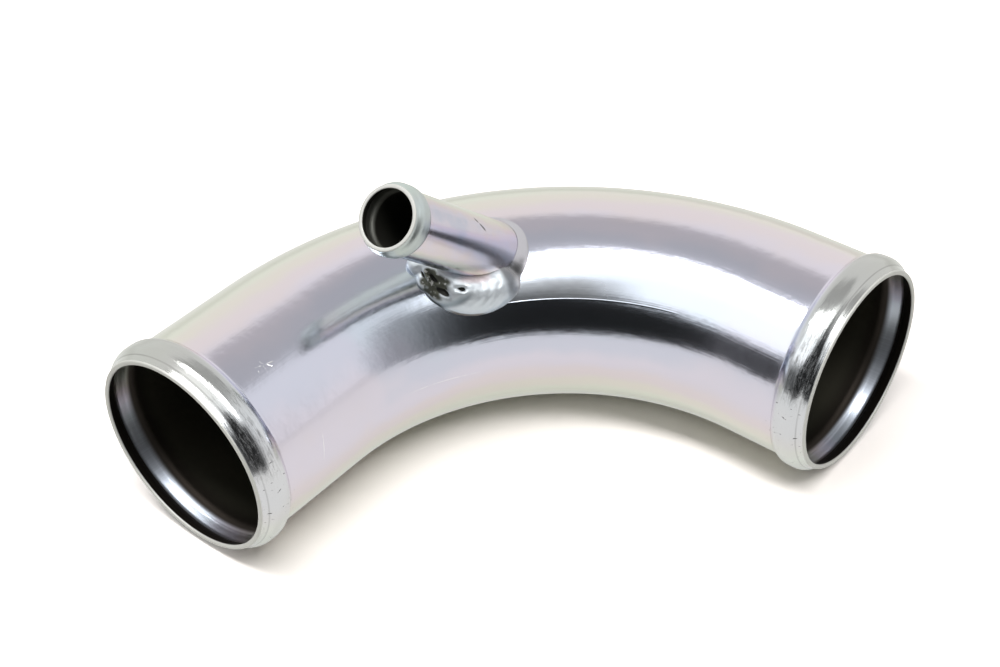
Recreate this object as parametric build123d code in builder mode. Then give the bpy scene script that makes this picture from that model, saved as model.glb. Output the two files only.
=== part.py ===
"""Air inlet pipe: a right-angle steel tube with a rolled bead at each end and a beaded stub welded on it."""
import math
import os

from build123d import *

os.makedirs("parts", exist_ok=True)

# Main tube: 3 inch steel tube, with a long straight leg at the inlet and a short one at the outlet
tube_od = 76.2
tube_wall = 1.65
bend_radius = 121.0
bend_angle = 90.0
inlet_leg = 52.0
outlet_leg = 35.0

# Hose bead of the main tube, rolled out of the wall: the lip in front of it is drawn in a little
lip_length = 2.6
lip_draw = 1.0
bead_length = 10.0
bead_height = 1.9
bead_land = 2.0
rim_break = 0.35

# Side stub: 7/8 inch steel tube, parallel to the inlet leg in plan and rising off the bend
stub_od = 22.2
stub_wall = 1.3
stub_rise = 40.9
stub_inset = 37.0
stub_mouth_along = 16.6
stub_mouth_up = 73.9

# Bead of the stub
stub_lip_length = 1.2
stub_lip_draw = 0.25
stub_bead_length = 7.0
stub_bead_height = 1.1
stub_bead_land = 1.8
stub_rim_break = 0.25

# Weld round the foot of the stub: beads of metal laid one over the next, heaviest under the stub's lean
weld_ripples = 20
weld_sink = 2.0
weld_radius_heavy = 9.0
weld_radius_light = 5.2
weld_reach_heavy = 13.2
weld_reach_light = 2.8
weld_heavy_angle = -95.0
weld_spread = 1.6

# How closely the stub's foot is found on the bend
search_step = 1e-6

# Sizes that follow from the ones above
tube_radius = tube_od / 2
stub_radius = stub_od / 2
stub_bore = stub_radius - stub_wall
bead_radius = tube_radius + bead_height
rise = math.radians(stub_rise)
turn = math.radians(bend_angle)

# The origin is under the middle of the pipe's box, on the surface that it lies on
bend_center = Vector(
    (bend_radius + bead_radius - outlet_leg) / 2,
    (inlet_leg - bend_radius - bead_radius) / 2,
    bead_radius,
)
bend_axis = Axis(bend_center, (0, 0, -1))
bend_start = Plane(bend_center + Vector(-bend_radius, 0, 0), x_dir=(1, 0, 0), z_dir=(0, 1, 0))
inlet_mouth = Plane(bend_center + Vector(-bend_radius, -inlet_leg, 0), x_dir=(0, 1, 0), z_dir=(1, 0, 0))
bend_end = bend_center + Vector(-math.cos(turn), math.sin(turn), 0) * bend_radius
outlet_way = Vector(math.sin(turn), math.cos(turn), 0)
outlet_mouth = Plane(bend_end + outlet_way * outlet_leg, x_dir=-outlet_way, z_dir=bend_end - bend_center)

# The stub's mouth, and its direction out of the bend
stub_mouth = bend_center + Vector(stub_inset - bend_radius, stub_mouth_along, stub_mouth_up)
stub_out = Vector(0, -math.cos(rise), math.sin(rise))
stub_side = Vector(1, 0, 0)
stub_up = stub_out.cross(stub_side)
stub_profile = Plane(stub_mouth, x_dir=-stub_out, z_dir=stub_side)
stub_face = Plane(stub_mouth, x_dir=stub_side, z_dir=stub_out)


def stub_spoke(angle):
    """The direction that points straight out of the stub's axis, at an angle counted from its side."""
    return stub_side * math.cos(angle) + stub_up * math.sin(angle)


def skin_depth(angle, radius, under):
    """How far below the stub's mouth a line along the stub comes to lie `under` the outside of the bend."""
    start = stub_mouth + stub_spoke(angle) * radius - bend_center
    outside = 0.0
    inside = stub_mouth_up / math.sin(rise)
    while inside - outside > search_step:
        middle = (outside + inside) / 2
        point = start - stub_out * middle
        from_centreline = math.hypot(math.hypot(point.X, point.Y) - bend_radius, point.Z)
        if from_centreline > tube_radius - under:
            outside = middle
        else:
            inside = middle
    return inside


def rolled_wall(radius, depth, lip, draw, length, height, land, end):
    """Draws one side of a rolled tube end, `depth` under its outside, from the mouth to `end`."""
    lean = math.atan2(draw, lip)
    side = (length - land) / 2
    crest = (side**2 + height**2) / (2 * height)
    shoulder = crest - depth
    front_center = Vector(lip + side, radius + height - crest)
    back_center = front_center + Vector(land, 0)
    front_drop = side * math.sin(lean) + (crest - height) * math.cos(lean) - depth
    front_turn = lean + math.acos(front_drop / shoulder)
    back_turn = math.acos((crest - height - depth) / shoulder)
    front = CenterArc(front_center, shoulder, 90, math.degrees(front_turn))
    back = CenterArc(back_center, shoulder, 90, -math.degrees(back_turn))
    Line(front @ 0, back @ 0)
    lip_line = Line(front @ 1, (0, radius - draw - depth / math.cos(lean)))
    run = Line(back @ 1, (end, radius - depth))
    return lip_line @ 1, run @ 1


main_bead = (lip_length, lip_draw, bead_length, bead_height, bead_land)
stub_bead = (stub_lip_length, stub_lip_draw, stub_bead_length, stub_bead_height, stub_bead_land)

# How deep the stub's outside and its bore run before they are all under the skin
stub_angles = [math.tau * step / weld_ripples for step in range(weld_ripples)]
stub_depths = [skin_depth(angle, stub_radius, 0) for angle in stub_angles]
stub_run = max(stub_depths) + tube_wall
hole_depth = max(skin_depth(angle, stub_bore, tube_wall) for angle in stub_angles) + tube_wall

# Bent tube: two straight legs with a bead on each, the bend between them, and the hole under the stub
with BuildPart() as bent_tube:
    for mouth, leg in ((inlet_mouth, inlet_leg), (outlet_mouth, outlet_leg)):
        with BuildSketch(mouth) as leg_wall:
            with BuildLine():
                outer_mouth, outer_end = rolled_wall(tube_radius, 0, *main_bead, leg)
                inner_mouth, inner_end = rolled_wall(tube_radius, tube_wall, *main_bead, leg)
                Line(outer_mouth, inner_mouth)
                Line(outer_end, inner_end)
            make_face()
            chamfer(leg_wall.vertices().sort_by(Axis.X)[:2], rim_break)
        revolve(axis=Axis(mouth.origin, mouth.x_dir))
    with BuildSketch(bend_start):
        Circle(tube_radius)
        Circle(tube_radius - tube_wall, mode=Mode.SUBTRACT)
    revolve(axis=bend_axis, revolution_arc=bend_angle)
    with BuildSketch(stub_face):
        Circle(stub_bore)
    extrude(amount=-hole_depth, mode=Mode.SUBTRACT)

# Side stub: a beaded tube, its foot coped to the outside of the bend
with BuildPart() as side_stub:
    with BuildSketch(stub_profile) as stub_wall_face:
        with BuildLine():
            outer_mouth, outer_end = rolled_wall(stub_radius, 0, *stub_bead, stub_run)
            inner_mouth, inner_end = rolled_wall(stub_radius, stub_wall, *stub_bead, stub_run)
            Line(outer_mouth, inner_mouth)
            Line(outer_end, inner_end)
        make_face()
        chamfer(stub_wall_face.vertices().sort_by(Axis.X)[:2], stub_rim_break)
    revolve(axis=Axis(stub_mouth, stub_out))
    with BuildSketch(bend_start):
        Circle(tube_radius)
    revolve(axis=bend_axis, revolution_arc=bend_angle, mode=Mode.SUBTRACT)

# Weld: overlapping lumps round the foot of the stub, trimmed to the outsides of both tubes
with BuildPart() as stub_weld:
    for angle, depth in zip(stub_angles, stub_depths):
        spoke = stub_spoke(angle)
        foot = stub_mouth + spoke * stub_radius - stub_out * depth
        over_bend = Vector(foot.X - bend_center.X, foot.Y - bend_center.Y, 0).normalized() * bend_radius
        normal = (foot - bend_center - over_bend).normalized()
        along_skin = (spoke - normal * spoke.dot(normal)).normalized()
        heaviness = ((1 + math.cos(angle - math.radians(weld_heavy_angle))) / 2) ** weld_spread
        radius = weld_radius_light + (weld_radius_heavy - weld_radius_light) * heaviness
        reach = weld_reach_light + (weld_reach_heavy - weld_reach_light) * heaviness
        toe = math.sqrt(radius**2 - weld_sink**2)
        with Locations(foot + along_skin * (reach - toe) - normal * weld_sink):
            Sphere(radius)
    with BuildSketch(bend_start):
        Circle(tube_radius)
    revolve(axis=bend_axis, revolution_arc=bend_angle, mode=Mode.SUBTRACT)
    with BuildSketch(stub_face):
        Circle(stub_radius)
    extrude(amount=-stub_run, mode=Mode.SUBTRACT)

bent_tube.part.label = "bent_tube"
side_stub.part.label = "side_stub"
stub_weld.part.label = "stub_weld"
export_step(bent_tube.part, "parts/bent_tube.step")
export_step(side_stub.part, "parts/side_stub.step")
export_step(stub_weld.part, "parts/stub_weld.step")
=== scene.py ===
import math

import bmesh
import bpy
from mathutils import Matrix, Vector, kdtree, noise


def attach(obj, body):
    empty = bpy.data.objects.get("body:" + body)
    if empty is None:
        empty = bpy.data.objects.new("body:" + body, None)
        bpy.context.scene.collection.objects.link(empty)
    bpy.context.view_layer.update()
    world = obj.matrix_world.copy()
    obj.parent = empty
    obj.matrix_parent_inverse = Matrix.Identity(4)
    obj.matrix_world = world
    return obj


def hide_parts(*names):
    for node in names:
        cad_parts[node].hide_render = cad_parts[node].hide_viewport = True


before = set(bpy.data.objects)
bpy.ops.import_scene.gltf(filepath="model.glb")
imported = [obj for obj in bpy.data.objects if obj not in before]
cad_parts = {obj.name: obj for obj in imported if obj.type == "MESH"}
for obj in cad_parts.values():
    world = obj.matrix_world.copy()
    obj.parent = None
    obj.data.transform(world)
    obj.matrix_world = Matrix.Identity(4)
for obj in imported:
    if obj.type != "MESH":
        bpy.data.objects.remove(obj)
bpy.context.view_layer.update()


# Bent tube: three-inch steel tube with a thin wall, drawn round a former to a right angle.
# Each end was rolled between wheels into a hose bead, and the finished pipe was zinc plated and passivated,
# which leaves a pale rainbow on the outside; the way its bands run round the tube is painted sheen. The bore
# is dull, and its darkness is painted shade.
tube_radius = 0.0381
tube_wall = 0.00165
bend_radius = 0.121
inlet_leg = 0.052
outlet_leg = 0.035
bend_center = Vector((0.063, -0.0545, 0.040))
bend_run = bend_radius * math.pi / 2
tube_run = inlet_leg + bend_run + outlet_leg
up = Vector((0, 0, 1))
tube_bead = dict(
    lip=0.0026, draw=0.001, length=0.010, height=0.0019, land=0.002, rim=0.0004, thinned=0.0010, step=0.00032
)
tube_sides = 176
ring_gap = 0.0032
ring_spare = 0.002


def rolled_end(radius, wall, lip, draw, length, height, land, rim, thinned, step):
    """The outside and the inside of a beaded tube end, each as (distance from the mouth, radius)."""
    side = (length - land) / 2
    crest = (side**2 + height**2) / (2 * height)
    blend = 0.3 * height
    probe = step / 9
    # Rolling thins the wall most at the front of the groove inside the bead
    thin_start, thinnest, thin_end = lip + 0.40 * side, lip + 0.58 * side, lip + side + 1.3 * land

    def rise(s):
        """How far the outside stands above the plain tube, at a distance from the mouth."""
        off = max(lip + side - s, s - lip - side - land, 0)
        bead = height - crest + math.sqrt(max(crest**2 - off**2, 0))
        plain = min(-draw * (1 - s / lip), 0)
        return max(bead, plain) + max(blend - abs(bead - plain), 0) ** 2 / (4 * blend)

    outside, inside = [], []
    count = round((lip + length + 2 * height) / step)
    for i in range(-round(2 * wall / step), count + 1):
        s = i * step
        slope = (rise(s + probe) - rise(s - probe)) / (2 * probe)
        lean = math.hypot(1, slope)
        inward = s + wall * slope / lean
        front = min(max((inward - thin_start) / (thinnest - thin_start), 0), 1)
        back = min(max((thin_end - inward) / (thin_end - thinnest), 0), 1)
        inner = (inward, radius + rise(s) - wall / lean + thinned * front * back)
        if s > rim:
            outside.append((s, radius + rise(s)))
        if inner[0] > rim and (not inside or inner[0] > inside[-1][0] + step / 3):
            inside.append(inner)
    edge_out, edge_in = outside[0][1] - rim * 0.2, inside[0][1] + rim * 0.1
    turns = [math.radians(a) for a in (90, 60, 30, 0)]
    round_out = [(rim - rim * math.sin(a), edge_out - rim + rim * math.cos(a)) for a in turns]
    round_in = [(rim - rim * math.sin(a), edge_in + rim - rim * math.cos(a)) for a in turns]
    return round_out + outside, round_in + inside


def skinned(name, rings):
    """An object whose mesh runs over rings of points, from each to the next and back to the first."""
    count = len(rings[0])
    points = [point for ring in rings for point in ring]
    faces = []
    for i in range(len(rings)):
        here, there = i * count, (i + 1) % len(rings) * count
        for j in range(count):
            k = (j + 1) % count
            faces.append((here + j, here + k, there + k, there + j))
    mesh = bpy.data.meshes.new(name)
    mesh.from_pydata(points, [], faces)
    work = bmesh.new()
    work.from_mesh(mesh)
    bmesh.ops.recalc_face_normals(work, faces=work.faces)
    work.to_mesh(mesh)
    work.free()
    mesh.shade_smooth()
    thing = bpy.data.objects.new(name, mesh)
    bpy.context.scene.collection.objects.link(thing)
    return thing


def keep(thing, name, values):
    """Keeps a number at each point of the mesh, for the material to read."""
    kept = thing.data.attributes.new(name, "FLOAT", "POINT")
    kept.data.foreach_set("value", values)


def mark(thing, places):
    """Keeps, at each point, how far along and which way round it is, and whether it is inside."""
    place = thing.data.attributes.new("place", "FLOAT_VECTOR", "POINT")
    numbers = [n for along, a, _ in places for n in (along, math.cos(a), math.sin(a))]
    place.data.foreach_set("vector", numbers)
    keep(thing, "inside", [float(inner) for _, _, inner in places])


def tube_place(along):
    """The tube's centre and the direction away from the bend's centre, at a distance along the tube."""
    turn = min(max((along - inlet_leg) / bend_radius, 0), math.pi / 2)
    away = Vector((-math.cos(turn), math.sin(turn), 0))
    center = bend_center + away * bend_radius
    center.y += min(along - inlet_leg, 0)
    center.x += max(along - inlet_leg - bend_run, 0)
    return center, away


tube_spokes = [math.tau * i / tube_sides for i in range(tube_sides)]
end_outside, end_inside = rolled_end(tube_radius, tube_wall, **tube_bead)
end_run = end_outside[-1][0]
rings, places = [], []
for profile, radius, inner in ((end_outside, tube_radius, 0), (end_inside, tube_radius - tube_wall, 1)):
    middle = [end_run + ring_gap * i for i in range(1, round(tube_run / ring_gap))]
    middle = [(s, radius) for s in middle if s < tube_run - end_run - ring_spare]
    stations = profile + middle + [(tube_run - s, r) for s, r in reversed(profile)]
    for along, ring_radius in reversed(stations) if inner else stations:
        center, away = tube_place(along)
        rings.append([center + (away * math.cos(a) + up * math.sin(a)) * ring_radius for a in tube_spokes])
        places += [(along, a, inner) for a in tube_spokes]
bent_tube = skinned("bent_tube_plated", rings)

# The stub's line is needed here too, because its bore goes through the wall of the bend
stub_radius = 0.0111
stub_wall = 0.0013
stub_bore = stub_radius - stub_wall
stub_rise = math.radians(40.9)
stub_mouth = bend_center + Vector((0.037 - bend_radius, 0.0166, 0.0739))
stub_out = Vector((0, -math.cos(stub_rise), math.sin(stub_rise)))
stub_side = Vector((1, 0, 0))
stub_up = stub_out.cross(stub_side)
drill_depth = 0.058
drill_length = 0.036
drill_sides = 96
drill_place = Matrix((stub_side, stub_up, stub_out)).transposed().to_4x4()
drill_place.translation = stub_mouth - stub_out * drill_depth
drill_mesh = bpy.data.meshes.new("drill")
work = bmesh.new()
bmesh.ops.create_cone(
    work, cap_ends=True, segments=drill_sides, radius1=stub_bore, radius2=stub_bore, depth=drill_length,
    matrix=drill_place,
)
work.to_mesh(drill_mesh)
work.free()
drill = bpy.data.objects.new("drill", drill_mesh)
bpy.context.scene.collection.objects.link(drill)
cut = bent_tube.modifiers.new("hole", "BOOLEAN")
cut.operation = "DIFFERENCE"
cut.solver = "EXACT"
cut.object = drill
bpy.context.view_layer.update()
drilled = bpy.data.meshes.new_from_object(bent_tube.evaluated_get(bpy.context.evaluated_depsgraph_get()))
bent_tube.modifiers.clear()
bent_tube.data = drilled
bpy.data.objects.remove(drill)

# The cut drops the marks, so each point of the drilled tube takes those of the nearest point before it
nearest = kdtree.KDTree(len(places))
for i, point in enumerate(point for ring in rings for point in ring):
    nearest.insert(point, i)
nearest.balance()
mark(bent_tube, [places[nearest.find(vertex.co)[1]] for vertex in drilled.vertices])


class Wire:
    """An output in a node tree: arithmetic on it lays Math nodes."""

    def __init__(self, tree, socket):
        self.tree, self.socket = tree, socket

    def node(self, kind, settings, inputs, output=0):
        """Adds a node: its settings first, then its sockets' values or links."""
        made = self.tree.nodes.new(kind)
        for name, value in settings.items():
            setattr(made, name, value)
        for name, value in inputs.items():
            if isinstance(value, Wire):
                self.tree.links.new(value.socket, made.inputs[name])
            else:
                made.inputs[name].default_value = value
        return Wire(self.tree, made.outputs[output])

    def math(self, operation, *terms):
        """Adds a Math node."""
        return self.node("ShaderNodeMath", {"operation": operation}, dict(enumerate(terms)))

    def __add__(self, other):
        return self.math("ADD", self, other)

    def __radd__(self, other):
        return self.math("ADD", other, self)

    def __sub__(self, other):
        return self.math("SUBTRACT", self, other)

    def __rsub__(self, other):
        return self.math("SUBTRACT", other, self)

    def __mul__(self, other):
        return self.math("MULTIPLY", self, other)

    def __rmul__(self, other):
        return self.math("MULTIPLY", other, self)

    def __truediv__(self, other):
        return self.math("DIVIDE", self, other)

    def __rtruediv__(self, other):
        return self.math("DIVIDE", other, self)

    def __pow__(self, other):
        return self.math("POWER", self, other)

    def __abs__(self):
        return self.math("ABSOLUTE", self)

    def step(self, low, high):
        """0 below `low`, 1 above `high`, and smooth between; the other way round where `low` is higher."""
        ends = {"From Min": low, "From Max": high, "Value": self}
        return self.node("ShaderNodeMapRange", {"interpolation_type": "SMOOTHSTEP"}, ends)

    def mix(self, low, high):
        """The colour `low` where this is 0, and `high` where it is 1."""
        return self.node("ShaderNodeMix", {"data_type": "RGBA"}, {0: self, 6: low, 7: high}, 2)

    def noise(self, scale, detail, roughness):
        """Smooth noise over this vector, from 0 to 1."""
        inputs = {"Vector": self, "Scale": scale, "Detail": detail, "Roughness": roughness}
        return self.node("ShaderNodeTexNoise", {}, inputs)

    def kept(self, name, output="Fac"):
        """What the mesh keeps at its points under this name."""
        return self.node("ShaderNodeAttribute", {"attribute_name": name}, {}, output)

    def beside(self, output):
        """Another output of the same node."""
        return Wire(self.tree, self.socket.node.outputs[output])

    def parts(self):
        """This vector's three numbers."""
        split = self.node("ShaderNodeSeparateXYZ", {}, {0: self})
        return [split.beside(axis) for axis in "XYZ"]

    def joined(self, *terms):
        """A vector of three numbers."""
        return self.node("ShaderNodeCombineXYZ", {}, dict(enumerate(terms)))

    def bump(self, strength, height):
        """A surface normal that follows a height, counted in fifths of a millimetre."""
        inputs = {"Strength": strength, "Distance": 0.0002, "Height": height}
        return self.node("ShaderNodeBump", {}, inputs)


def finish_of(thing, name):
    """A new material on the piece: returns a wire to start from and the shader node."""
    material = bpy.data.materials.new(name)
    material.use_nodes = True
    thing.data.materials.clear()
    thing.data.materials.append(material)
    shader = material.node_tree.nodes["Principled BSDF"]
    return Wire(material.node_tree, None), shader


def connect(shader, **wires):
    """Links wires to the shader's sockets, named with _ for a space."""
    for name, wire in wires.items():
        wire.tree.links.new(wire.socket, shader.inputs[name.replace("_", " ")])


def facing(sideways, upward, degrees):
    """1 towards this way round, 0 at right angles to it and -1 on the far side."""
    turn = math.radians(degrees)
    return sideways * math.cos(turn) + upward * math.sin(turn)


def film_sheen_colors(film_sheen):
    """The plating's rainbow tints laid out as a painted sheen: yellow-green where the value is low, then
    pink, lilac and at last blue-white.
    """
    color = (0.80, 0.82, 0.75, 1)
    for low, high, tint in (
        (0.10, 0.34, (0.75, 0.77, 0.66, 1)),
        (0.40, 0.54, (0.78, 0.74, 0.67, 1)),
        (0.54, 0.66, (0.78, 0.705, 0.725, 1)),
        (0.66, 0.77, (0.75, 0.71, 0.79, 1)),
        (0.77, 0.87, (0.66, 0.67, 0.77, 1)),
        (0.88, 0.96, (0.64, 0.70, 0.79, 1)),
    ):
        color = film_sheen.step(low, high).mix(color, tint)
    return color


start, shader = finish_of(bent_tube, "plated_tube")
along, away, upward = start.kept("place", "Vector").parts()
inner = start.kept("inside")
outer = 1 - inner
spot = start.node("ShaderNodeTexCoord", {}, {}, "Object")
from_mouth = start.math("MINIMUM", along, tube_run - along)

# Painted sheen: the plating's rainbow tints run round the tube by how it faces one fixed direction,
# blue-white along the upper inner side of the bend and falling away round the tube
in_bend = along.step(0.04, 0.15) * (1 - 0.6 * along.step(0.19, 0.26))
bend_entry = along.step(0.050, 0.066) * along.step(0.130, 0.090)
sheen_turn = 2.27 + in_bend * 0.23
patches = spot.noise(38, 3, 0.55)
# Painted sheen: this value is how the surface faces one fixed direction round the tube
film_sheen = abs(away * start.math("COSINE", sheen_turn) + upward * start.math("SINE", sheen_turn))
film_sheen = film_sheen * (0.86 + in_bend * 0.13 + bend_entry * 0.05) + (patches - 0.5) * 0.16
film_sheen = film_sheen + along.step(0.10, 0.20) * away.step(-0.3, 0.5) * 0.20
film_sheen = film_sheen + (1 - in_bend) * upward.step(0.45, -0.20) * 0.25
color = film_sheen_colors(film_sheen)

# Drawing lines run along the tube, and rolling lines round its beads
streaks = start.joined(along * 22, away * 55, upward * 55).noise(1.0, 5, 0.65) * 0.4
bead_zone = from_mouth.step(0.0152, 0.0125)
ring_lines = start.joined(from_mouth * 2600, away * 4, upward * 4).noise(1.0, 3, 0.6)
grain = streaks + bead_zone * (ring_lines - streaks)

# The strip's own seam shows as a fine raised line, with a dirty grey haze over it beside the weld
seam_degrees = 146.5
haze_grey = (0.14, 0.135, 0.125, 1)
above_seam = facing(away, upward, seam_degrees - 90)
seam_side = facing(away, upward, seam_degrees).step(0, 0.1) * outer
seam = abs(above_seam).step(0.010, 0.001) * seam_side * along.step(0.128, 0.142) * along.step(0.220, 0.195)
haze = above_seam.step(-0.004, 0.012) * above_seam.step(0.26, 0.14) * seam_side
haze = haze * along.step(0.118, 0.130) * along.step(0.205, 0.165) * (0.4 + patches)

# The beads are scuffed on their crests, nicked along their lower sides and mint there; their tops are greyed
# and the lip's crease browned as painted shade
scuff_degrees = 139.8
bead_mint = (0.69, 0.73, 0.71, 1)
bead_top_shade_grey = (0.50, 0.505, 0.47, 1)
scuff_black = (0.10, 0.10, 0.095, 1)
crease_shade_brown = (0.16, 0.155, 0.15, 1)
nick_black = (0.02, 0.02, 0.02, 1)
scuffs = start.joined(from_mouth * 1500, away * 9, upward * 9).noise(1.0, 5, 0.75).step(0.47, 0.66)
scuffs = scuffs * facing(away, upward, scuff_degrees).step(0.86, 0.98)
scuffs = scuffs * from_mouth.step(0.0105, 0.0080) * outer
nicks = start.joined(from_mouth * 520, away * 70, upward * 70).noise(1.0, 2, 0.5).step(0.69, 0.72)
nicks = nicks * away.step(-0.80, -0.93) * bead_zone * from_mouth.step(0.0008, 0.0016) * outer
on_bead = from_mouth.step(0.0120, 0.0100) * outer
crease = from_mouth.step(0.0023, 0.0026) * from_mouth.step(0.0030, 0.0027) * outer
color = (on_bead * 0.6).mix(color, bead_mint)
# Painted shade: the tops of the beads are greyed
color = (on_bead * upward.step(0.62, 0.95) * 0.7).mix(color, bead_top_shade_grey)
color = (scuffs * 0.6).mix(color, scuff_black)
# Painted shade, mottled, along the crease behind the lip
color = (crease * 0.5 * patches).mix(color, crease_shade_brown)
color = nicks.mix(color, nick_black)
color = (haze * 0.8).mix(color, haze_grey)

# Handling left a few fine scratches: (along, degrees round, lean, half length, half width)
scratch_white = (0.97, 0.97, 0.95, 1)
scratches = 0
for middle, degrees, lean, length, width in (
    (0.0255, 120, 14, 0.0042, 0.00026),
    (0.0248, 120.5, 95, 0.0026, 0.00022),
    (0.0262, 121, 55, 0.0024, 0.00020),
    (0.0218, 122, 118, 0.0016, 0.00018),
    (0.0975, 181, 3.8, 0.0225, 0.00012),
    (0.0295, 173, 100, 0.0055, 0.00012),
):
    cosine, sine = math.cos(math.radians(lean)), math.sin(math.radians(lean))
    ahead = along - middle
    aside = facing(away, upward, degrees + 90) * tube_radius
    stroke = abs(aside * cosine - ahead * sine).step(width, width * 0.3)
    stroke = stroke * abs(ahead * cosine + aside * sine).step(length, length * 0.5)
    scratches = scratches + stroke * facing(away, upward, degrees).step(0.5, 0.8) * outer
scratches = scratches * spot.noise(420, 3, 0.7).step(0.36, 0.54)
color = scratches.mix(color, scratch_white)

# Painted shade inside: the lip and the bore are dull and painted dark, and each groove is dimmed where it
# faces out from the bend and down; only the back of the groove behind each bead stays bright
lip_shade_black = (0.045, 0.038, 0.032, 1)
bore_shade_brown = (0.11, 0.105, 0.08, 1)
rim_white = (0.80, 0.80, 0.75, 1)
groove_shade_degrees = -30
rim = from_mouth.step(0.0008, 0.0003)
groove = from_mouth.step(0.0052, 0.0060) * from_mouth.step(0.0112, 0.0088)
# Painted shade, streaky, dims this side of the groove
groove = groove * (1 - 0.8 * facing(away, upward, groove_shade_degrees).step(0.88, 0.99) * (0.5 + streaks))
dull_and_shaded = inner * (1 - groove) * (1 - rim)
color = dull_and_shaded.mix(color, from_mouth.step(0.0120, 0.0200).mix(lip_shade_black, bore_shade_brown))
color = rim.mix(color, rim_white)

# The plating shows the grain under it and has a faint peel of its own; it is rougher where it is worn
peel = spot.noise(260, 2, 0.5)
worn = haze * 0.22 + scuffs * 0.15 + inner * groove * 0.13
connect(
    shader,
    Base_Color=color,
    Normal=start.bump(0.3, (grain + peel * 0.9) * outer + seam * 1.6 - scratches),
    Metallic=1 - rim * 0.6 - nicks - scuffs * 0.3,
    Roughness=0.13 + grain * 0.1 + dull_and_shaded * 0.4 + rim * 0.4 + worn,
)
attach(bent_tube, "root")
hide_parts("bent_tube")


# Side stub: a short breather tube of seven-eighths steel, beaded at its mouth like the main ends.
# Its foot was coped to the bend and it was plated together with the pipe after welding.
stub_bead = dict(
    lip=0.0012, draw=0.00025, length=0.007, height=0.0011, land=0.0018, rim=0.00025, thinned=0, step=0.00022
)
stub_sides = 128
stub_rows = 14
stub_sink = 0.0004
search_end = 0.11
search_halvings = 40


def stub_spoke(a):
    """The direction straight out of the stub's axis, at an angle counted from its side."""
    return stub_side * math.cos(a) + stub_up * math.sin(a)


def above_skin(point):
    """How far a point is outside the bend's skin, or under it where this is less than 0."""
    offset = point - bend_center
    return math.hypot(math.hypot(offset.x, offset.y) - bend_radius, offset.z) - tube_radius


def skin_depth(a, radius, under):
    """How far below the stub's mouth a line along the stub comes to lie `under` the bend's outside."""
    line_start = stub_mouth + stub_spoke(a) * radius
    outside, inside = 0.0, search_end
    for _ in range(search_halvings):
        depth = (outside + inside) / 2
        if above_skin(line_start - stub_out * depth) > -under:
            outside = depth
        else:
            inside = depth
    return inside


stub_spokes = [math.tau * i / stub_sides for i in range(stub_sides)]
end_outside, end_inside = rolled_end(stub_radius, stub_wall, **stub_bead)
rings, places = [], []
for profile, radius, inner in ((end_outside, stub_radius, 0), (end_inside, stub_bore, 1)):
    feet = [skin_depth(a, radius, stub_sink) for a in stub_spokes]
    end_run = profile[-1][0]
    rows = [([s] * stub_sides, r) for s, r in profile]
    for i in range(1, stub_rows + 1):
        rows.append(([end_run + (foot - end_run) * i / stub_rows for foot in feet], radius))
    for depths, ring_radius in reversed(rows) if inner else rows:
        line = list(zip(stub_spokes, depths))
        rings.append([stub_mouth - stub_out * depth + stub_spoke(a) * ring_radius for a, depth in line])
        places += [(depth, a, inner) for a, depth in line]
side_stub = skinned("side_stub_plated", rings)
mark(side_stub, places)

start, shader = finish_of(side_stub, "plated_stub")
depth, across, upward = start.kept("place", "Vector").parts()
inner = start.kept("inside")
outer = 1 - inner
spot = start.node("ShaderNodeTexCoord", {}, {}, "Object")

# Painted sheen: the plating's rainbow tints are patchy and follow how the stub faces one fixed direction,
# highest along its inner side and, out of sight, along its underside
sheen_degrees = 10
patches = spot.noise(95, 3, 0.6)
# Painted sheen: the stub's rainbow tints are laid by its facing
film_sheen = start.math("MINIMUM", facing(across, upward, sheen_degrees) * 0.95, 0.78) + (patches - 0.5) * 0.42
film_sheen = film_sheen - upward.step(0.10, -0.35) * 0.10 + upward.step(-0.70, -0.92) * 0.95
color = film_sheen_colors(film_sheen)
streaks = start.joined(depth * 32, across * 16, upward * 16).noise(1.0, 5, 0.65) * 0.3
bead_zone = depth.step(0.0090, 0.0080)
ring_lines = start.joined(depth * 2600, across * 4, upward * 4).noise(1.0, 3, 0.6)
grain = streaks + bead_zone * (ring_lines - streaks)

# The bead is mint, with a dark line of painted shade in the crease behind it, and a scored mark slants
# across the stub near its foot
collar_mint = (0.55, 0.63, 0.60, 1)
crease_shade_black = (0.10, 0.10, 0.10, 1)
score_black = (0.08, 0.08, 0.075, 1)
score_depth = 0.0408
score_length = 0.0030
score_degrees = 48.5
collar = bead_zone * outer
back_line = depth.step(0.0078, 0.0082) * depth.step(0.0089, 0.0085) * outer
ahead = (depth - score_depth) / score_length
aside = facing(across, upward, score_degrees + 90) / 0.18 + ahead
scored = abs(ahead).step(1.0, 0.7) * abs(aside).step(0.32, 0.1) * outer
scored = scored * spot.noise(600, 2, 0.6).step(0.30, 0.46)
color = (collar * 0.8).mix(color, collar_mint)
# Painted shade along the crease behind the bead
color = (back_line * 0.6).mix(color, crease_shade_black)
color = scored.mix(color, score_black)

# The mouth's rim is pale; the bore is dull and painted dark as shade, less so in a faint ring of light in
# the bead's groove
stub_bore_shade_brown = (0.09, 0.088, 0.075, 1)
stub_rim_white = (0.78, 0.78, 0.74, 1)
rim = depth.step(0.0006, 0.0002)
groove = depth.step(0.0040, 0.0046) * depth.step(0.0085, 0.0074)
dull_and_shaded = inner * (1 - groove * 0.25) * (1 - rim)
# Painted shade: the stub's bore is painted dark
color = dull_and_shaded.mix(color, stub_bore_shade_brown)
color = rim.mix(color, stub_rim_white)
connect(
    shader,
    Base_Color=color,
    Normal=start.bump(0.35, grain),
    Metallic=1 - rim * 0.6 - collar * 0.15,
    Roughness=0.20 + grain * 0.1 + dull_and_shaded * 0.4 + rim * 0.35 + collar * 0.08,
)
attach(side_stub, "root")
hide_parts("side_stub")


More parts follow.
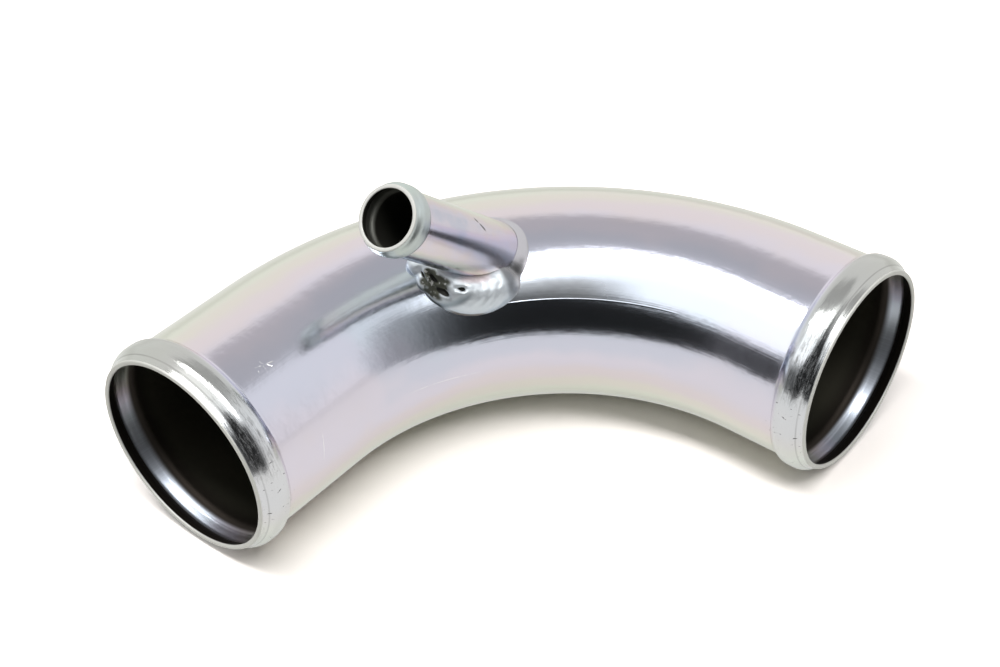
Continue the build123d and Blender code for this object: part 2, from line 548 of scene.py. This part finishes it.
# Weld: a hand-laid bead of weld metal round the foot of the stub, heaviest under the stub's lean.
# Its ripples, lumps, burnt crater and blow holes were plated over with the rest.
weld_sides = 300
weld_rows = 40
weld_sink = 0.002
weld_heavy_degrees = -95
weld_spread = 1.6
weld_radius_light, weld_radius_heavy = 0.0052, 0.009
weld_reach_light, weld_reach_heavy = 0.0028, 0.0132
weld_overlap = 0.0004
toe_sink = 0.0003
toe_turn_least = -1.4
toe_halvings = 24
fillet_gap = 0.0002
base_sink = 0.0008
# Places on the weld are (degrees round the stub, share across from top to toe, and the width of each)
weld_lumps = (
    ((-131, 0.85, 8, 0.40), 0.0020),
    ((-123, 0.85, 2.5, 0.40), -0.0008),
    ((-116, 0.97, 4, 0.14), 0.0008),
    ((-98, 0.78, 12, 0.22), 0.0004),
    ((-36, 0.88, 4, 0.12), -0.0004),
)
weld_burns = ((-110, 0.40, 14, 0.26), (-109, 0.70, 11, 0.22))
weld_pits = ((-112, 0.40, 5, 0.07), (-100, 0.55, 6.5, 0.085), (-86, 0.31, 4.5, 0.045), (-120, 0.62, 3, 0.06))
weld_ripples = (-56, 0.62, 15, 0.24)
ripple_height, ripple_degrees, ripple_slant, ripple_start = 0.00014, 10.5, 40, 4
pit_depth = 0.0013
burn_depth = 0.0005
valley_depth = 0.00035
valley_degrees, valley_across, valley_slant = -76, 0.4, 38
valley_wide, valley_steep = 7, 3
valley_top, valley_fade = 0.34, 0.14
weld_grain = ((190, 0.00020), (520, 0.00012))
fillet_full, fillet_none = 0.36, 0.66


def swell(degrees, across, place):
    """1 in the middle of a place on the weld, falling away to 0 round it."""
    place_degrees, place_across, wide_degrees, wide_across = place
    off = ((degrees - place_degrees + 180) % 360 - 180) / wide_degrees
    return math.exp(-(off**2) - ((across - place_across) / wide_across) ** 2)


def valley_between(degrees, across):
    """1 along the valley between two runs of the weld, which slants down from the blow holes to the toe."""
    off = degrees - valley_degrees + valley_slant * (across - valley_across)
    off = off / (valley_wide if off < 0 else valley_steep)
    return math.exp(-(off**2)) * min(max((across - valley_top) / valley_fade, 0), 1)


weld_spokes = [math.tau * i / weld_sides for i in range(weld_sides)]
sections = []
for a in weld_spokes:
    spoke = stub_spoke(a)
    foot = stub_mouth + spoke * stub_radius - stub_out * skin_depth(a, stub_radius, 0)
    over_bend = Vector((foot.x - bend_center.x, foot.y - bend_center.y, 0)).normalized() * bend_radius
    normal = (foot - bend_center - over_bend).normalized()
    along_skin = (spoke - normal * spoke.dot(normal)).normalized()
    heavy = ((1 + math.cos(a - math.radians(weld_heavy_degrees))) / 2) ** weld_spread
    radius = weld_radius_light + (weld_radius_heavy - weld_radius_light) * heavy
    reach = weld_reach_light + (weld_reach_heavy - weld_reach_light) * heavy
    center = foot + along_skin * (reach - math.sqrt(radius**2 - weld_sink**2)) - normal * weld_sink
    to_foot = foot - center
    raised = to_foot.dot(stub_out)
    climb = math.sqrt(max(raised**2 - to_foot.length_squared + radius**2, 0)) - raised
    top = foot + stub_out * (climb + weld_overlap) - spoke * weld_overlap
    first = math.atan2((top - center).dot(normal), (top - center).dot(along_skin))
    last, outside = toe_turn_least, first
    for _ in range(toe_halvings):
        turn = (last + outside) / 2
        if above_skin(center + (along_skin * math.cos(turn) + normal * math.sin(turn)) * radius) > -toe_sink:
            outside = turn
        else:
            last = turn
    toe = center + (along_skin * math.cos(last) + normal * math.sin(last)) * radius
    corner = foot + (along_skin + normal) * fillet_gap
    hollow = min(max((fillet_none - heavy) / (fillet_none - fillet_full), 0), 1)
    hollow = hollow * hollow * (3 - 2 * hollow)
    base = foot - normal * base_sink + along_skin * fillet_gap
    sections.append((a, along_skin, normal, center, radius, first, last, top, corner, toe, hollow, base))

rings, places, pits, burns, hollows, valleys = [], [], [], [], [], []
for i in range(weld_rows + 1):
    across = i / weld_rows
    ring = []
    for a, along_skin, normal, center, radius, first, last, top, corner, toe, hollow, _ in sections:
        degrees = math.degrees(a) - 360
        turn = first + (last - first) * across
        face = along_skin * math.cos(turn) + normal * math.sin(turn)
        fillet = top * (1 - across) ** 2 + corner * 2 * across * (1 - across) + toe * across**2
        point = (center + face * radius) * (1 - hollow) + fillet * hollow
        ragged = noise.noise(point * 420) * 0.5
        pit = max(swell(degrees, across, place) for place in weld_pits) * (1 + ragged)
        burn = max(0, max(swell(degrees, across, place) for place in weld_burns) * (1 + 1.4 * ragged))
        valley = valley_between(degrees, across)
        ripple = math.sin(math.tau * (degrees + ripple_slant * across - ripple_start) / ripple_degrees)
        lift = sum(noise.noise(point * scale) * height for scale, height in weld_grain)
        lift *= 1 - 0.8 * hollow
        lift += sum(height * swell(degrees, across, place) for place, height in weld_lumps)
        lift -= pit_depth * pit + burn_depth * burn * (0.6 + 2 * ragged) + valley_depth * valley
        lift += ripple_height * swell(degrees, across, weld_ripples) * ripple
        held = min(1, 6 * across, 8 * (1 - across) + 0.25)
        ring.append(point + face * lift * held)
        places.append((across, a, 0))
        pits.append(pit)
        burns.append(burn)
        hollows.append(hollow)
        valleys.append(valley)
    rings.append(ring)
rings.append([section[-1] for section in sections])
stub_weld = skinned("stub_weld_plated", rings)
mark(stub_weld, places + [(1, a, 0) for a in weld_spokes])
for name, values in (("pit", pits), ("burn", burns), ("smooth", hollows), ("valley", valleys)):
    keep(stub_weld, name, values + [0] * weld_sides)

start, shader = finish_of(stub_weld, "plated_weld")
across, sideways, upward = start.kept("place", "Vector").parts()
pit = start.kept("pit")
burn = start.kept("burn").step(0.30, 0.62)
smooth = start.kept("smooth")
valley = start.kept("valley")
spot = start.node("ShaderNodeTexCoord", {}, {}, "Object")
speckle = spot.noise(900, 4, 0.6)

# Blue-white weld metal, blushed pink at its top edge, with painted shade in the valley, over the smooth
# fillet and at the stub's heel
weld_blue, weld_white = (0.74, 0.81, 0.86, 1), (0.86, 0.90, 0.93, 1)
blush_pink = (0.86, 0.70, 0.72, 1)
fillet_shade_grey = (0.58, 0.57, 0.60, 1)
heel_shade_grey = (0.20, 0.20, 0.20, 1)
valley_blue = (0.24, 0.30, 0.34, 1)
blush_degrees = -72
heel_shade_degrees = -15
blush = across.step(0.22, 0.10) * facing(sideways, upward, blush_degrees).step(0.90, 0.99)
heel_shade = across.step(0.85, 0.55) * facing(sideways, upward, heel_shade_degrees).step(0.93, 0.985)
color = speckle.mix(weld_blue, weld_white)
color = (blush * 0.7).mix(color, blush_pink)
# Painted shade: the smooth fillet is greyed
color = smooth.mix(color, fillet_shade_grey)
# Painted shade at the stub's heel, where it meets the weld
color = (heel_shade * 0.75).mix(color, heel_shade_grey)
color = (valley * 0.75).mix(color, valley_blue)

# The crater is burnt olive with bright specks; its blow holes are painted black as shade, a dark line of
# painted shade runs along the toe beside it, and the toe is scorched brown beyond
burnt_olive, burnt_speck = (0.11, 0.115, 0.09, 1), (0.60, 0.60, 0.58, 1)
hole_shade_black = (0.02, 0.02, 0.017, 1)
toe_shade_black = (0.06, 0.06, 0.05, 1)
scorch_brown = (0.16, 0.10, 0.05, 1)
toe_shade_degrees = -108
scorch_degrees = -73
toe_shade = across.step(0.86, 0.96) * facing(sideways, upward, toe_shade_degrees).step(0.95, 0.99)
scorch = across.step(0.84, 0.90) * facing(sideways, upward, scorch_degrees).step(0.95, 0.99)
color = burn.mix(color, spot.noise(520, 3, 0.6).step(0.57, 0.66).mix(burnt_olive, burnt_speck))
# Painted shade: the blow holes are painted black
color = pit.step(0.30, 0.55).mix(color, hole_shade_black)
# Painted shade along the toe where the weld meets the tube
color = (toe_shade * 0.85).mix(color, toe_shade_black)
color = (scorch * 0.8).mix(color, scorch_brown)
rough_speckle = speckle * (1 - smooth)
connect(
    shader,
    Base_Color=color,
    Normal=start.bump(0.5, rough_speckle),
    Metallic=0.75 + smooth * 0.25,
    Roughness=0.42 + rough_speckle * 0.14 - smooth * 0.18 + burn * 0.1,
)
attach(stub_weld, "root")
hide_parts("stub_weld")


# Studio: a white table that ends in front of the pipe, and a broad soft lamp overhead on the camera's side.
# The room behind the camera is dark, and the walls behind the table are white.
# None of it is part of the pipe.
front_degrees = -60
table_front = 0.28
table_reach = 3
table_white = (0.76, 0.755, 0.74, 1)
table_seen = (1.81, 1.72, 1.65, 1)
table_mirrored = (1.00, 0.995, 0.975, 1)
table_glow = 0.62
to_front = Vector((math.cos(math.radians(front_degrees)), math.sin(math.radians(front_degrees)), 0))
to_side = Vector((-to_front.y, to_front.x, 0)) * table_reach
front_edge, back_edge = to_front * table_front, to_front * -table_reach
corners = [front_edge - to_side, front_edge + to_side, back_edge + to_side, back_edge - to_side]
table_mesh = bpy.data.meshes.new("table")
table_mesh.from_pydata(corners, [], [(0, 1, 2, 3)])
table = bpy.data.objects.new("table", table_mesh)
bpy.context.scene.collection.objects.link(table)


def light_path(start):
    """Which rays the camera sends, which a shiny piece mirrors, and which have lit something dull before."""
    seen = start.node("ShaderNodeLightPath", {}, {}, "Is Camera Ray")
    return seen, seen.beside("Is Glossy Ray"), start.math("MINIMUM", seen.beside("Diffuse Depth"), 1)


start, _ = finish_of(table, "white_table")
seen, mirrored, bounced = light_path(start)
paper = start.node("ShaderNodeBsdfDiffuse", {}, {"Color": seen.mix(table_white, table_seen)})
glow = start.node("ShaderNodeEmission", {}, {"Color": table_mirrored})
glowing = mirrored * (1 - bounced) * table_glow
lit_paper = start.node("ShaderNodeMixShader", {}, {0: glowing, 1: paper, 2: glow})
surface = table.data.materials[0].node_tree.nodes["Material Output"].inputs["Surface"]
lit_paper.tree.links.new(lit_paper.socket, surface)

softbox_brightness = 8.2
lamp_data = bpy.data.lights.new("softbox", "AREA")
lamp_data.shape = "RECTANGLE"
lamp_data.size = 1.4
lamp_data.size_y = 0.28
lamp_data.energy = softbox_brightness * math.pi * lamp_data.size * lamp_data.size_y
lamp = bpy.data.objects.new("softbox", lamp_data)
lamp.location = (0.1, -0.255, 1.05)
lamp.rotation_euler = (0, 0, math.radians(9))
bpy.context.scene.collection.objects.link(lamp)

# The room: white walls, dimmer overhead, and unlit behind the camera, below a panel seen only in the metal
left_degrees = -140
wall_white = 0.94
ceiling_dim = 0.40
panel_bright = 1.5
dome_light = 0.66
world = bpy.data.worlds.new("studio")
bpy.context.scene.world = world
world.use_nodes = True
start = Wire(world.node_tree, None)
seen, mirrored, bounced = light_path(start)
east, north, high = start.node("ShaderNodeTexCoord", {}, {}, "Generated").parts()
level = start.math("SQRT", start.math("MAXIMUM", 1 - high * high, 0.0001))
front = start.math("MAXIMUM", facing(east, north, front_degrees) / level, 0)
left = start.math("MAXIMUM", facing(east, north, left_degrees) / level, 0)
unlit = (1 - (1 - front) ** 3) * (0.66 - left * 0.33 - high).step(-0.1, 0.1)
room = (wall_white - ceiling_dim * high.step(0.735, 0.83)) * (1 - 0.985 * unlit)
panel = panel_bright * front.step(0.1, 0.4) * high.step(0.94, 0.89) * (1 - unlit)
in_metal = start.math("MAXIMUM", room, panel) * mirrored * (1 - bounced)
on_dull = room * (1 - mirrored) * high.step(0.4, 0.8) * dome_light
backing = start.math("MAXIMUM", seen, in_metal + on_dull)
background = world.node_tree.nodes["Background"]
world.node_tree.links.new(backing.socket, background.inputs["Color"])

camera_place = (0.28261, -0.34038, 0.41786)
camera_degrees = (40.509, 39.577, -2.17)
camera_data = bpy.data.cameras.new("camera")
camera_data.sensor_fit = "HORIZONTAL"
camera_data.sensor_width = 36
camera_data.lens = 59.65
camera_data.clip_start = 0.01
camera = bpy.data.objects.new("camera", camera_data)
heading, pitch, roll = (math.radians(degrees) for degrees in camera_degrees)
back = Vector((math.sin(heading) * math.cos(pitch), -math.cos(heading) * math.cos(pitch), math.sin(pitch)))
level_right = Vector((math.cos(heading), math.sin(heading), 0))
level_up = back.cross(level_right)
right = level_right * math.cos(roll) + level_up * math.sin(roll)
camera.matrix_world = Matrix.Translation(camera_place) @ (
    Matrix((right, back.cross(right), back)).transposed().to_4x4()
)
bpy.context.scene.collection.objects.link(camera)
bpy.context.scene.camera = camera
bpy.context.scene.view_settings.view_transform = "Standard"
